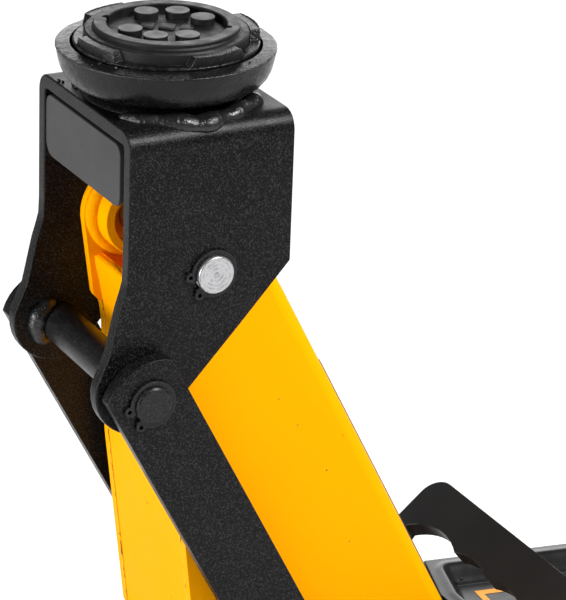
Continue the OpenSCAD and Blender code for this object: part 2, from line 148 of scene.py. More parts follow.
class Shader:
    """A material's node tree with short calls for the nodes used here."""

    def __init__(self, name):
        self.material = bpy.data.materials.new(name)
        self.material.use_nodes = True
        self.tree = self.material.node_tree
        self.surface = self.tree.nodes["Principled BSDF"]
        self.place = self.tree.nodes.new("ShaderNodeTexCoord").outputs["Object"]
        self.normal = None

    def node(self, kind, **values):
        made = self.tree.nodes.new(kind)
        for key, value in values.items():
            setattr(made, key, value)
        return made

    def feed(self, socket, value):
        """Sets a socket from a number, a colour, a vector or another socket."""
        if isinstance(value, (int, float)):
            socket.default_value = value
        elif isinstance(value, (tuple, Vector)):
            parts = tuple(value)
            socket.default_value = parts + (1,) if len(socket.default_value) == 4 else parts
        else:
            self.tree.links.new(value, socket)

    def noise(self, scale, detail=2.0, roughness=0.5, stretch=None):
        """Noise, with features about 1/scale metres across."""
        place = self.place
        if stretch:
            mapping = self.node("ShaderNodeMapping")
            mapping.inputs["Scale"].default_value = stretch
            self.feed(mapping.inputs["Vector"], place)
            place = mapping.outputs["Vector"]
        made = self.node("ShaderNodeTexNoise")
        made.inputs["Scale"].default_value = scale
        made.inputs["Detail"].default_value = detail
        made.inputs["Roughness"].default_value = roughness
        self.feed(made.inputs["Vector"], place)
        return made.outputs["Fac"]

    def cells(self, scale):
        """Distance from scattered points, for specks and pores."""
        made = self.node("ShaderNodeTexVoronoi")
        made.inputs["Scale"].default_value = scale
        self.feed(made.inputs["Vector"], self.place)
        return made.outputs["Distance"]

    def ramp(self, value, *stops):
        """Colours or greys at positions, as (position, colour) pairs."""
        made = self.node("ShaderNodeValToRGB")
        points = made.color_ramp.elements
        while len(points) < len(stops):
            points.new(0.5)
        for point, (position, colour) in zip(points, stops):
            point.position = position
            point.color = (*colour, 1) if isinstance(colour, tuple) else (colour,) * 3 + (1,)
        self.feed(made.inputs["Fac"], value)
        return made.outputs["Color"]

    def math(self, operation, a, b=0.0, c=0.5):
        """A sum of two values, or of three where the operation takes them."""
        made = self.node("ShaderNodeMath", operation=operation)
        for index, value in enumerate((a, b, c)):
            self.feed(made.inputs[index], value)
        return made.outputs["Value"]

    def mix(self, factor, a, b):
        made = self.node("ShaderNodeMix", data_type="RGBA")
        for index, value in ((0, factor), (6, a), (7, b)):
            self.feed(made.inputs[index], value)
        return made.outputs[2]

    def reach(self, centre, axis):
        """Distance in metres from an axis through a point, "x", "y" or "z" across it."""
        away = self.node("ShaderNodeVectorMath", operation="SUBTRACT")
        self.feed(away.inputs[0], self.place)
        away.inputs[1].default_value = centre
        flat = self.node("ShaderNodeVectorMath", operation="MULTIPLY")
        self.feed(flat.inputs[0], away.outputs[0])
        flat.inputs[1].default_value = [0 if letter == axis else 1 for letter in "xyz"]
        length = self.node("ShaderNodeVectorMath", operation="LENGTH")
        self.feed(length.inputs[0], flat.outputs[0])
        return length.outputs["Value"]

    def height(self, axis="z"):
        """One coordinate of the point in metres."""
        split = self.node("ShaderNodeSeparateXYZ")
        self.feed(split.inputs[0], self.place)
        return split.outputs[axis.upper()]

    def waves(self, value, pitch):
        """A 0 to 1 wave every pitch metres of a distance."""
        turned = self.math("SINE", self.math("MULTIPLY", value, 2 * math.pi / pitch))
        return self.math("MULTIPLY_ADD", turned, 0.5, 0.5)

    def between(self, value, low, high):
        """0 below low to 1 above high."""
        made = self.node("ShaderNodeMapRange")
        made.inputs["From Min"].default_value = low
        made.inputs["From Max"].default_value = high
        self.feed(made.inputs["Value"], value)
        return made.outputs["Result"]

    def edges(self, radius):
        """White along sharp edges, black on flats."""
        bevel = self.node("ShaderNodeBevel", samples=6)
        bevel.inputs["Radius"].default_value = radius
        flat = self.node("ShaderNodeNewGeometry")
        dot = self.node("ShaderNodeVectorMath", operation="DOT_PRODUCT")
        self.feed(dot.inputs[0], bevel.outputs["Normal"])
        self.feed(dot.inputs[1], flat.outputs["Normal"])
        return self.ramp(dot.outputs["Value"], (0.88, 1.0), (0.995, 0.0))

    def bump(self, height, depth, strength=1.0):
        """Relief, depth in millimetres, over any bump that is there already."""
        made = self.node("ShaderNodeBump")
        made.inputs["Distance"].default_value = depth * MM
        made.inputs["Strength"].default_value = strength
        self.feed(made.inputs["Height"], height)
        if self.normal is not None:
            self.feed(made.inputs["Normal"], self.normal)
        self.normal = made.outputs["Normal"]
        self.feed(self.surface.inputs["Normal"], self.normal)

    def set(self, **values):
        for key, value in values.items():
            self.feed(self.surface.inputs[key.replace("_", " ")], value)
        return self


# ---------- Materials ----------

def coating(name, low, high, pale_tone, roughness, grain=(1150, 0.15), wear=0.5, gloss=0.5, painted_sparkle=0.3):
    """Black paint or powder coat: two tones, leathery relief, pale specks as painted glints on the
    raised grain and near-black specks as painted shade in its pits, and edges paler from rubbing,
    partly a painted highlight.
    """
    s = Shader(name)
    tone = s.mix(s.ramp(s.noise(45, 4), (0.35, 0.0), (0.65, 1.0)), low, high)
    leather = s.noise(grain[0], 3, 0.6)
    # Painted sparkle: pale specks where the leathery grain is high stand for glints, near-black specks
    # where it is low stand for shade in the pits.
    tone = s.mix(s.ramp(leather, (0.5, 0.0), (0.72, painted_sparkle)), tone, pale_tone)
    tone = s.mix(s.ramp(leather, (0.3, painted_sparkle * 2), (0.5, 0.0)), tone, (0.001, 0.001, 0.001))
    # Paler edges: wear from rubbing, and partly a painted highlight along the edges.
    pale_edges = s.math("MULTIPLY", s.edges(0.9 * MM), s.ramp(s.noise(260, 4), (0.4, 0.1), (0.7, wear)))
    s.set(Base_Color=s.mix(pale_edges, tone, pale_tone), Specular_IOR_Level=gloss)
    s.set(Roughness=s.ramp(s.noise(90, 3), (0.3, roughness - 0.06), (0.7, roughness + 0.06)))
    s.bump(s.noise(110, 2), 0.08)
    s.bump(leather, grain[1])
    return s.material


def casting(name, low, high, pale_tone, roughness, relief=0.12, wear=0.6, gloss=0.5):
    """Sand-cast iron under thin paint: pitted relief and bright edges, paler from rubbing."""
    s = Shader(name)
    tone = s.mix(s.ramp(s.noise(60, 4), (0.35, 0.0), (0.65, 1.0)), low, high)
    pale_edges = s.math("MULTIPLY", s.edges(1.2 * MM), s.ramp(s.noise(340, 4), (0.42, 0.0), (0.66, wear)))
    s.set(Base_Color=s.mix(pale_edges, tone, pale_tone), Specular_IOR_Level=gloss)
    s.set(Roughness=s.ramp(s.noise(300, 3), (0.3, roughness - 0.1), (0.7, roughness + 0.1)))
    s.bump(s.noise(70, 3), relief * 3)
    s.bump(s.noise(420, 4, 0.65), relief)
    s.bump(s.ramp(s.cells(520), (0.1, 0.0), (0.35, 1.0)), relief * 0.5)
    return s.material


def metal(name, low, high, roughness, grain=None, stretch=(1, 1, 1), scratch=0.02):
    """Bare or plated steel with faint machining or draw marks."""
    s = Shader(name)
    tone = s.mix(s.ramp(s.noise(55, 4), (0.3, 0.0), (0.7, 1.0)), low, high)
    marks = s.noise(260, 4, 0.6, stretch)
    s.set(Base_Color=s.mix(s.ramp(marks, (0.45, 0.0), (0.8, 0.3)), tone, low), Metallic=1.0)
    s.set(Roughness=s.ramp(s.noise(140, 3), (0.3, roughness * 0.8), (0.7, roughness * 1.25)))
    s.bump(marks, scratch)
    if grain:
        s.bump(s.noise(grain[0], 2), grain[1])
    return s.material


def turned_face(name, centre, low, high, roughness):
    """Plated pin end with uneven concentric tool marks about a crosswise axis."""
    s = Shader(name)
    wobble = s.math("MULTIPLY", s.noise(300, 3), 2.6 * MM)
    radius = s.math("ADD", s.reach(centre, "y"), wobble)
    rings = s.waves(radius, 2.1 * MM)
    blotch = s.ramp(s.noise(380, 4), (0.42, 0.0), (0.7, 0.75))
    tone = s.mix(s.math("MULTIPLY", rings, blotch), high, low)
    s.set(Base_Color=tone, Metallic=0.85)
    s.set(Roughness=s.ramp(s.noise(300, 2), (0.3, roughness), (0.7, roughness + 0.14)))
    s.bump(rings, 0.03)
    s.bump(s.noise(900, 3), 0.03)
    return s.material


def yellow_paint(name, shade=1.0, relief=0.03):
    """Yellow gloss paint: slight tone drift, orange peel, rare dark specks."""
    s = Shader(name)
    clean = tuple(c * shade for c in (0.98, 0.38, 0.0))
    deep = tuple(c * shade for c in (0.95, 0.36, 0.0))
    tone = s.mix(s.ramp(s.noise(9, 3), (0.3, 0.0), (0.7, 1.0)), deep, clean)
    speck = s.math("MULTIPLY", s.ramp(s.cells(85), (0.055, 1.0), (0.085, 0.0)),
                   s.ramp(s.noise(30, 1), (0.62, 0.0), (0.66, 0.8)))
    tone = s.mix(speck, tone, (0.28, 0.10, 0.004))
    grime = s.math("MULTIPLY", s.edges(0.7 * MM), s.ramp(s.noise(180, 4), (0.5, 0.0), (0.75, 0.5)))
    s.set(Base_Color=s.mix(grime, tone, (0.45, 0.17, 0.004)), Specular_IOR_Level=0.01)
    s.set(Roughness=s.ramp(s.noise(60, 3), (0.3, 0.34), (0.7, 0.46)))
    s.bump(s.noise(16, 2), 0.25)
    s.bump(s.noise(330, 2), relief)
    return s.material


def yellow_weld(name):
    """Yellow paint over weld spatter, with brown showing in the hollows."""
    s = Shader(name)
    hollow = s.ramp(s.noise(700, 4, 0.65), (0.34, 1.0), (0.52, 0.0))
    s.set(Base_Color=s.mix(hollow, (0.93, 0.40, 0.002), (0.24, 0.075, 0.004)), Specular_IOR_Level=0.5)
    s.set(Roughness=s.ramp(s.noise(400, 3), (0.3, 0.22), (0.7, 0.45)))
    s.bump(s.noise(650, 4, 0.6), 0.2)
    return s.material


def seam_stain(name):
    """Brown-edged joint line under yellow paint, dark only here and there."""
    s = Shader(name)
    dark = s.ramp(s.noise(130, 4, 0.7), (0.5, 0.0), (0.64, 1.0))
    s.set(Base_Color=s.mix(dark, (0.85, 0.42, 0.001), (0.20, 0.06, 0.003)), Specular_IOR_Level=0.3)
    s.set(Roughness=s.ramp(s.noise(300, 3), (0.3, 0.45), (0.7, 0.6)))
    s.bump(s.noise(800, 4), 0.15)
    return s.material


def rubber(name):
    """Moulded rubber: dark and matt, lighter grey on the raised tops."""
    s = Shader(name)
    tone = s.mix(s.noise(150, 4), (0.004, 0.004, 0.004), (0.010, 0.010, 0.010))
    # Lighter grey on the raised tops: full strength within 28 mm of the saddle's axis, half strength
    # outside.
    top = s.between(s.height(), PAD_TOP - 0.5 * MM, PAD_TOP - 0.1 * MM)
    stud = s.math("SUBTRACT", 1.0, s.between(s.reach(SADDLE, "z"), 28 * MM, 29 * MM))
    raised_top_tone = s.math("MULTIPLY", top, s.math("MULTIPLY_ADD", stud, 0.5, 0.5))
    tone = s.mix(raised_top_tone, tone, (0.07, 0.07, 0.07))
    s.set(Base_Color=tone, Specular_IOR_Level=0.3)
    s.set(Roughness=s.ramp(s.noise(200, 3), (0.3, 0.4), (0.7, 0.6)))
    s.bump(s.noise(900, 3), 0.1)
    s.bump(s.noise(160, 2), 0.12)
    return s.material


def foam(name):
    """Closed-cell foam sleeve: soft, pored and matt."""
    s = Shader(name)
    pores = s.ramp(s.cells(900), (0.12, 0.0), (0.4, 1.0))
    s.set(Base_Color=s.mix(pores, (0.006, 0.006, 0.006), (0.022, 0.022, 0.023)))
    s.set(Roughness=s.ramp(s.noise(120, 3), (0.3, 0.86), (0.7, 0.96)), Specular_IOR_Level=0.25)
    s.bump(s.noise(85, 3), 0.35)
    s.bump(pores, 0.12)
    return s.material


def moulding(name, low, high, roughness, gloss=0.4, grain=0.02, edge=0.0):
    """Smooth moulded or painted panel with faint handling marks and paler edges, which are a painted
    highlight along the edges.
    """
    s = Shader(name)
    tone = s.mix(s.ramp(s.noise(30, 4), (0.3, 0.0), (0.7, 1.0)), low, high)
    mark = s.ramp(s.noise(500, 4, 0.6, (0.15, 1, 1)), (0.7, 0.0), (0.78, 0.25))
    tone = s.mix(mark, tone, tuple(c * 2.2 for c in high))
    # Painted highlight: a paler tone along sharp edges, as strong as the edge setting.
    pale_edges = s.ramp(s.noise(60, 3), (0.45, 0.0), (0.6, edge))
    tone = s.mix(s.math("MULTIPLY", s.edges(1.2 * MM), pale_edges), tone, (0.12, 0.12, 0.12))
    s.set(Base_Color=tone, Specular_IOR_Level=gloss)
    s.set(Roughness=s.ramp(s.noise(70, 3), (0.3, roughness - 0.05), (0.7, roughness + 0.05)))
    s.bump(s.noise(20, 2), 0.12)
    s.bump(s.noise(1100, 2), grain)
    return s.material


def grey(level):
    return (level, level, level * 1.02)


MATERIALS = {
    "cast_black": casting("cast_black", grey(0.003), grey(0.005), grey(0.14), 0.28, 0.2, gloss=0.2),
    "pad_rubber": rubber("pad_rubber"),
    "zinc_steel": metal("zinc_steel", grey(0.42), grey(0.62), 0.3),
    "black_powder": coating("black_powder", grey(0.0012), grey(0.003), grey(0.08), 0.34, gloss=0.12,
                             painted_sparkle=0.42),
    "panel_grey": moulding("panel_grey", grey(0.041), grey(0.047), 0.5, gloss=0.15),
    "black_oxide": coating("black_oxide", grey(0.004), grey(0.007), grey(0.08), 0.28, (1200, 0.03),
                           gloss=0.2),
    "arm_yellow": yellow_paint("arm_yellow"),
    "bright_steel": metal("bright_steel", grey(0.62), grey(0.74), 0.13, stretch=(6, 0.3, 0.3)),
    "spring_steel": metal("spring_steel", grey(0.24), grey(0.4), 0.28),
    "cast_iron": casting("cast_iron", (0.10, 0.102, 0.105), (0.15, 0.152, 0.155), grey(0.3), 0.5),
    "tank_black": coating("tank_black", grey(0.010), grey(0.014), grey(0.1), 0.22, (300, 0.02)),
    "cover_black": moulding("cover_black", grey(0.009), grey(0.012), 0.26, gloss=0.3),
    # The grip moulding's edge setting paints a highlight along the carry handle's edges.
    "grip_moulding": moulding("grip_moulding", grey(0.010), grey(0.013), 0.4, gloss=0.35,
                              edge=0.8),
    "wheel_black": casting("wheel_black", grey(0.014), grey(0.022), grey(0.12), 0.5, relief=0.05),
    "handle_tube": coating("handle_tube", grey(0.010), grey(0.014), grey(0.14), 0.26, (420, 0.02)),
    "grip_foam": foam("grip_foam"),
}
EXTRA = {
    "tip_face": turned_face("tip_face", PIN, grey(0.17), grey(0.46), 0.3),
    "link_face": coating("link_face", grey(0.006), grey(0.009), grey(0.08), 0.34, (900, 0.05),
                         gloss=0.2),
    "weld_black": casting("weld_black", grey(0.004), grey(0.008), grey(0.08), 0.34, 0.3, gloss=0.45),
    # Painted shade: the dark olive of the strips on the arm's back edges; also the colour of the arm's
    # paint chips.
    "shade_strip_and_chips": moulding("shade_strip_and_chips", (0.045, 0.032, 0.012), (0.06, 0.042, 0.015), 0.5),
    "weld_yellow": yellow_weld("weld_yellow"),
    "seam_yellow": seam_stain("seam_yellow"),
    "rough_yellow": yellow_paint("rough_yellow", 0.92, 0.3),
    "label_orange": moulding("label_orange", (0.85, 0.34, 0.003), (0.9, 0.37, 0.003), 0.4),
}
NODE_FINISH = {"tip_pin": "tip_face", "link_pin": "link_face"}
EDGE_WIDTH = {"saddle_bracket": 0.9, "link_bar_left": 0.8, "link_bar_right": 0.8,
              "arm_channel": 0.5, "arm_front_plate": 0.4, "carry_handle": 1.2, "top_cover": 1.3,
              "bracket_front_plate": 0.6, "tip_circlips": 0.15, "link_circlips": 0.15,
              "rubber_pad": 0.3, "foam_grip": 3.0, "saddle_insert": 0.3, "handle_socket": 0.8,
              "frame_side_left": 0.7, "frame_side_right": 0.7, "pump_block": 1.5, "ram_yoke": 1.5,
              "base_plate": 0.6, "castor_wings": 0.8, "arm_tip_bushes": 0.4, "saddle_clip": 0.2}


def dress_nodes():
    """Gives each CAD node its finish, rounded edges and smooth shading."""
    for row in frame["record"]["subparts"]:
        name = row["node"]
        node = nodes[name]
        finish = EXTRA[NODE_FINISH[name]] if name in NODE_FINISH else MATERIALS[row["material_slot"]]
        node.data.materials.clear()
        node.data.materials.append(finish)
        node.data.polygons.foreach_set("use_smooth", [True] * len(node.data.polygons))
        weld = node.modifiers.new("weld", "WELD")
        weld.merge_threshold = 1e-6
        flat = node.modifiers.new("flat", "DECIMATE")
        flat.decimate_type = "DISSOLVE"
        flat.angle_limit = math.radians(0.2)
        bevel = node.modifiers.new("bevel", "BEVEL")
        bevel.width = EDGE_WIDTH.get(name, 0.4) * MM
        bevel.segments = 2
        bevel.limit_method = "ANGLE"
        bevel.angle_limit = math.radians(32)
        node.modifiers.new("shade", "WEIGHTED_NORMAL").keep_sharp = True


# ---------- Mesh helpers ----------

RIPPLE_DEPTH, RIPPLE_LAG = 0.09, 0.3   # shares of a bead's width
LUMP_SCALE, FINE_LUMP_SCALE = 80, 480  # noise features per metre

def new_piece(name, slot, body, verts, faces, finish=None):
    """A smooth mesh that rides on a body."""
    mesh = bpy.data.meshes.new(name)
    mesh.from_pydata(verts, [], faces)
    shape = bmesh.new()
    shape.from_mesh(mesh)
    bmesh.ops.recalc_face_normals(shape, faces=shape.faces)
    shape.to_mesh(mesh)
    shape.free()
    mesh.polygons.foreach_set("use_smooth", [True] * len(mesh.polygons))
    mesh.materials.append(EXTRA[finish] if finish else MATERIALS[slot])
    piece = bpy.data.objects.new(name, mesh)
    bpy.context.scene.collection.objects.link(piece)
    if body:
        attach(piece, body)
    return piece


def skin(rings, closed=False):
    """Points and faces of a tube through equal rings, capped unless it closes on itself."""
    count = len(rings[0])
    faces = []
    for i in range(len(rings) if closed else len(rings) - 1):
        a, b = i * count, (i + 1) % len(rings) * count
        faces += [(a + j, a + (j + 1) % count, b + (j + 1) % count, b + j) for j in range(count)]
    if not closed:
        last = (len(rings) - 1) * count
        faces += [tuple(reversed(range(count))), tuple(range(last, last + count))]
    return [point for ring in rings for point in ring], faces


def even(path, step):
    """The path's points again, evenly spaced."""
    lengths = [0]
    for a, b in zip(path, path[1:]):
        lengths.append(lengths[-1] + (b - a).length)
    count = max(4, round(lengths[-1] / step))
    points, span = [], 0
    for i in range(count + 1):
        place = lengths[-1] * i / count
        while span < len(path) - 2 and lengths[span + 1] < place:
            span += 1
        share = (place - lengths[span]) / (lengths[span + 1] - lengths[span])
        points.append(path[span].lerp(path[span + 1], share))
    return points


def bead(name, slot, body, path, up, width, height, finish=None, ripple=2.4, lumps=0.25,
         closed=False, step=0.6, sides=12):
    """A weld bead along a path: rippled, lumpy, tapered at open ends. Sizes in millimetres.
    width and height are numbers or functions of the share of the way along."""
    points = even(path, step * MM)
    if closed:
        points = points[:-1]
    rings = []
    for i, point in enumerate(points):
        before = points[i - 1] if i or closed else point
        after = points[(i + 1) % len(points)] if i + 1 < len(points) or closed else point
        along = (after - before).normalized()
        normal = up(point) if callable(up) else up
        side = along.cross(normal).normalized()
        share = i / (len(points) - 1)
        wide = width(share) if callable(width) else width
        high = height(share) if callable(height) else height
        ends = min(i, len(points) - 1 - i) * step
        taper = 1 if closed else math.sqrt(min(1, (ends + 0.15) / wide))
        ring = []
        for j in range(sides):
            turn = 2 * math.pi * j / sides
            lag = RIPPLE_LAG * wide * abs(math.cos(turn))
            swell = 1 + RIPPLE_DEPTH * math.cos(2 * math.pi * (i * step + lag) / ripple)
            spot = point + side * math.cos(turn) * wide / 2 * MM
            swell += lumps * noise.noise(spot * LUMP_SCALE)
            swell += lumps / 4 * noise.noise(spot * FINE_LUMP_SCALE)
            ring.append(point + (side * math.cos(turn) * wide / 2 + normal * math.sin(turn) * high)
                        * taper * swell * MM)
        rings.append(ring)
    return new_piece(name, slot, body, *skin(rings, closed), finish=finish)


def spots(name, slot, body, places, finish=None, lumps=0.35):
    """Small drops of spatter or cast pips, each given as a place and a radius in millimetres."""
    shape = bmesh.new()
    for place, radius in places:
        made = bmesh.ops.create_icosphere(shape, subdivisions=3, radius=radius * MM)
        for vert in made["verts"]:
            vert.co *= 1 + lumps * noise.noise(vert.co * 500 / radius + place * 99)
            vert.co += place
    mesh = bpy.data.meshes.new(name)
    shape.to_mesh(mesh)
    shape.free()
    verts = [vert.co.copy() for vert in mesh.vertices]
    faces = [tuple(face.vertices) for face in mesh.polygons]
    return new_piece(name, slot, body, verts, faces, finish=finish)


# ---------- Saddle ----------
# Radii, drops below the pad's top and half widths are in millimetres, angles in degrees.

RIM_RADIUS, RIM_DROP, PIP_DROP = 55.35, 11.6, 10.3
LUG_ANGLES = (11.5, 98.3, 174, 289)
LUG_RADIUS, LUG_TOP_DROP, LUG_FOOT_DROP = 46.6, 3.75, 8.9
LUG_TOP_HALF = math.degrees(math.asin(13.4 / 47))
LUG_FOOT_HALF = math.degrees(math.asin(15.8 / 46.8))
BAR_ANGLE, BAR_SHIFT, BAR_FOOT_DROP, BAR_HALF, BAR_CUT = 147, 2.4, 4.1, 4.6, 1.0


def saddle_details():
    """Cast edges of the bowl and of the insert's lugs."""
    rim = PAD_TOP - RIM_DROP * MM
    ring = [around(SADDLE, RIM_RADIUS * MM, a) + Z * rim for a in range(0, 361, 3)]
    bead("bowl_rim_edge", "cast_black", "saddle", ring, Z, 0.9, 0.4, "weld_black",
         ripple=11, lumps=0.6, closed=True)
    pips = [(around(SADDLE, r * MM, a) + Z * (PAD_TOP - PIP_DROP * MM), size)
            for r, a, size in ((49.8, 22.9, 0.9), (49.4, 33.6, 0.8), (53.4, 21, 0.5), (52.8, 66, 0.5),
                               (50.6, 118, 0.6), (52.2, 200, 0.7), (51.8, 262, 0.8))]
    spots("bowl_cast_pips", "cast_black", "saddle", pips, "weld_black")
    for index, angle in enumerate(LUG_ANGLES, 1):
        top = [around(SADDLE, LUG_RADIUS * MM, angle + LUG_TOP_HALF * t / 8)
               + Z * (PAD_TOP - LUG_TOP_DROP * MM) for t in range(-8, 9)]
        bead(f"lug_edge_{index}", "cast_black", "saddle", top, Z, 0.9, 0.5, "weld_black",
             ripple=4, lumps=0.8)
        for side, tag in ((-1, "a"), (1, "b")):
            head = around(SADDLE, LUG_RADIUS * MM, angle + side * LUG_TOP_HALF)
            foot = around(SADDLE, (LUG_RADIUS + 0.1) * MM, angle + side * LUG_FOOT_HALF)
            slope = [head + Z * (PAD_TOP - (LUG_TOP_DROP + 0.05) * MM),
                     foot + Z * (PAD_TOP - LUG_FOOT_DROP * MM)]
            bead(f"lug_end_{index}_{tag}", "cast_black", "saddle", slope, around(Vector(), 1, angle),
                 0.9, 0.45, "weld_black", ripple=4, lumps=0.8)


def pad_bars():
    """Three plain raised bars in the middle of the pad's floor."""
    along, across = around(Vector(), 1, BAR_ANGLE), around(Vector(), 1, BAR_ANGLE + 90)
    for index, (shift, half) in enumerate(((-10, 3.6), (0, 4.2), (10, 3.6)), 1):
        centre = SADDLE + (along * shift + across * BAR_SHIFT) * MM
        centre += Z * (PAD_TOP - BAR_FOOT_DROP * MM)
        rings = []
        for rise, inset in ((0, 0), (1.0, 0.15), (1.25, 0.5)):
            a, b, cut = half - inset, BAR_HALF - inset, BAR_CUT
            outline = ((a, b - cut), (a - cut, b), (cut - a, b), (-a, b - cut),
                       (-a, cut - b), (cut - a, -b), (a - cut, -b), (a, cut - b))
            rings.append([centre + (along * u + across * v + Z * rise) * MM for u, v in outline])
        new_piece(f"pad_bar_{index}", "pad_rubber", "saddle", *skin(rings))


# ---------- Carrier ----------
# Radii in millimetres from the saddle's axis, drops of spatter from the carrier pin.

COLLAR_WELD_RADIUS, REAR_WELD_RADIUS = 46.6, 45
WELD_BULGE, BULGE_ANGLE, BULGE_SPREAD = 2.4, 82, 12
SPATTER = ((45.2, -33.2, 79.6, 1.0), (44.0, -31.0, 79.6, 0.8), (45.5, 54.2, 43.9, 0.5),
           (44.8, 54.2, 26.6, 0.5), (45.4, 54.2, 35.0, 0.4), (46.3, 54.2, -7.0, 0.4))
PIN_WELD = ((2, 12), (7, 11), (11.5, 6), (12.5, 0), (11, -6), (6, -11))


def carrier_surface(y):
    """Height of the carrier's bent top at a distance from the middle."""
    over = max(0, abs(y) - (CARRIER_Y - CARRIER_BEND))
    return CARRIER_TOP - CARRIER_BEND + math.sqrt(max(0, CARRIER_BEND ** 2 - over ** 2))


def carrier_details():
    """Welds round the collar, at the link pin's ends and behind the grey panel, and spatter."""
    path = []
    for a in range(34, 147, 2):
        bulge = WELD_BULGE * math.exp(-((a - BULGE_ANGLE) / BULGE_SPREAD) ** 2)
        point = around(SADDLE, (COLLAR_WELD_RADIUS + bulge) * MM, a)
        path.append(point + Z * (carrier_surface(point.y) - 0.4 * MM))
    bead("collar_weld", "black_powder", "carrier", path, Z,
         lambda t: 9.5 + 2 * math.exp(-((t - 0.43) / 0.12) ** 2), 4.4, "weld_black",
         ripple=17, lumps=0.3, step=0.5, sides=24)
    rear = [around(SADDLE, REAR_WELD_RADIUS * MM, a) + Z * CARRIER_TOP for a in range(205, 336, 3)]
    bead("collar_weld_rear", "black_powder", "carrier", rear, Z, 7, 3.4, "weld_black",
         ripple=4.2, lumps=0.4, step=0.6, sides=16)
    spots("carrier_spatter", "black_powder", "carrier",
          [(PIN + Vector((x, y, z)) * MM, r) for x, y, z, r in SPATTER], "weld_black")
    for side, tag in ((-1, "right"), (1, "left")):
        lump = [LINK_PIN + Vector((x, side * CARRIER_IN, z)) * MM for x, z in PIN_WELD]
        bead(f"link_pin_weld_{tag}", "black_powder", "carrier", lump, Vector((0, -side, 0)), 12, 6.5,
             "weld_black", ripple=40, lumps=0.2, step=0.5, sides=28)
        seam = [Vector((PIN.x + 40.8 * MM, (-2.85 + side * 43.8) * MM, PIN.z + z * MM))
                for z in (40, 65)]
        bead(f"panel_weld_{tag}", "black_powder", "carrier", seam, -X, 3.2, 1.6, "weld_black")


# ---------- Lift arm ----------
# Places along the arm and behind its axis, and sizes, in millimetres.

FRONT_BEND = ((317, -29.6), (289, -38.6), (282, -41.2), (221, -69.9), (122, -107.6))
FRONT_TOP_ALONG, FRONT_TOP_BACK = 318.4, -27.4
PLATE_Y, TUBE_WELD_RADIUS = 41, 22
ARM_LEN = (PIN - PIVOT).length / MM
# Cross-section of the painted-shade strips on the arm's back, across and behind the arm's axis.
BACK_EDGE = ((33.6, 32), (37.6, 32), (37.6, 32.9), (37.2, 33.2), (34.0, 33.2), (33.6, 32.9))
PAINT_CHIPS = ((-75.8, -129.7, 0.5), (-57, -99.5, 0.4), (-45, -82.1, 0.4), (-92, -176, 0.4))


def arm_details():
    """Welds of the front plate, the bushes and the pivot tube."""
    top = [arm_point(FRONT_TOP_ALONG, y, FRONT_TOP_BACK) for y in range(-40, 41, 4)]
    bead("front_plate_top_weld", "arm_yellow", "lift_arm", top, ARM_DIR, 3.4, 1.0, "rough_yellow",
         ripple=8, lumps=0.9, step=0.5, sides=14)
    for side, tag in ((-1, "right"), (1, "left")):
        line = [arm_point(u, side * (PLATE_Y + 0.2), w) for u, w in FRONT_BEND]
        bead(f"front_seam_{tag}", "arm_yellow", "lift_arm", line, -ARM_BACK, 1.1, 0.28, "seam_yellow",
             ripple=9, lumps=0.7, step=0.8, sides=8)
        face = Vector((0, -side, 0))
        tip = arm_point(ARM_LEN, side * PLATE_Y, 0)
        ring = [tip + (ARM_DIR * math.cos(a) + ARM_BACK * math.sin(a)) * TUBE_WELD_RADIUS * MM
                for a in (math.radians(d) for d in range(0, 361, 6))]
        bead(f"bush_weld_{tag}", "arm_yellow", "lift_arm", ring, face, 8, 4, "rough_yellow",
             ripple=41, lumps=0.12, closed=True, step=0.8, sides=20)
        ring = [PIVOT + Y * side * ARM_Y + (X * math.cos(a) + Z * math.sin(a)) * TUBE_WELD_RADIUS * MM
                for a in (math.radians(d) for d in range(0, 361, 6))]
        bead(f"pivot_tube_weld_{tag}", "arm_yellow", "lift_arm", ring, -face, 6, 3, "weld_yellow",
             ripple=3, lumps=0.25, closed=True, step=0.7)


def arm_chips():
    """Small dark chips in the paint of the arm's left face."""
    places = [(PIN + Vector((x, ARM_Y / MM - 0.1, z)) * MM, radius) for x, z, radius in PAINT_CHIPS]
    spots("arm_chips", "arm_yellow", "lift_arm", places, "shade_strip_and_chips")


def arm_back_shade_strips():
    """Dark olive strip, 1 mm proud, down each side of the arm's back: painted shade for the shadowed
    sliver of the back face.
    """
    for side, tag in ((-1, "right"), (1, "left")):
        rings = [[arm_point(u, side * y, w) for y, w in BACK_EDGE] for u in range(40, 240, 5)]
        new_piece(f"arm_back_shade_strip_{tag}", "arm_yellow", "lift_arm", *skin(rings), finish="shade_strip_and_chips")


# ---------- Cover ----------

# Sizes in millimetres, depths from the cover's flat rail.

COVER_SLOPE = math.radians(6.2)
COVER_FRONT = Vector((PIVOT.x - 76.1 * MM, 0, 134.6 * MM))
COVER_LEN, COVER_HALF, COVER_CORNER = 129, 95, 15
COVER_BOW, BOW_REACH = 0.34, 45
BEAD_RISE, BEAD_IN, BEAD_SPREAD = 1.1, 8, 2.6
WALL_START, WALL_WIDTH, FLOOR_DEPTH = 9.5, 10, 9.5
APRON = ((-5, -0.4), (-2.6, -0.6), (-1.2, -1.3), (-0.4, -2.6), (-0.1, -4.5), (-0.1, -30))
APRON_Y = (-89, -60, -30, 0, 30, 60, 89)
LABEL_SIZE, LABEL_BAND, LABEL_THICK = 42, 5, 0.25
LABEL_X, LABEL_Y = -28, -66


def cover_point(x, y, z):
    """A point in the sloping cover's own axes, in millimetres from its bowed front edge."""
    x += COVER_BOW * min(BOW_REACH, max(0, COVER_HALF - abs(y))) * max(0, 1 + x / COVER_LEN)
    c, s = math.cos(COVER_SLOPE), math.sin(COVER_SLOPE)
    return COVER_FRONT + Vector((x * c - z * s, y, x * s + z * c)) * MM


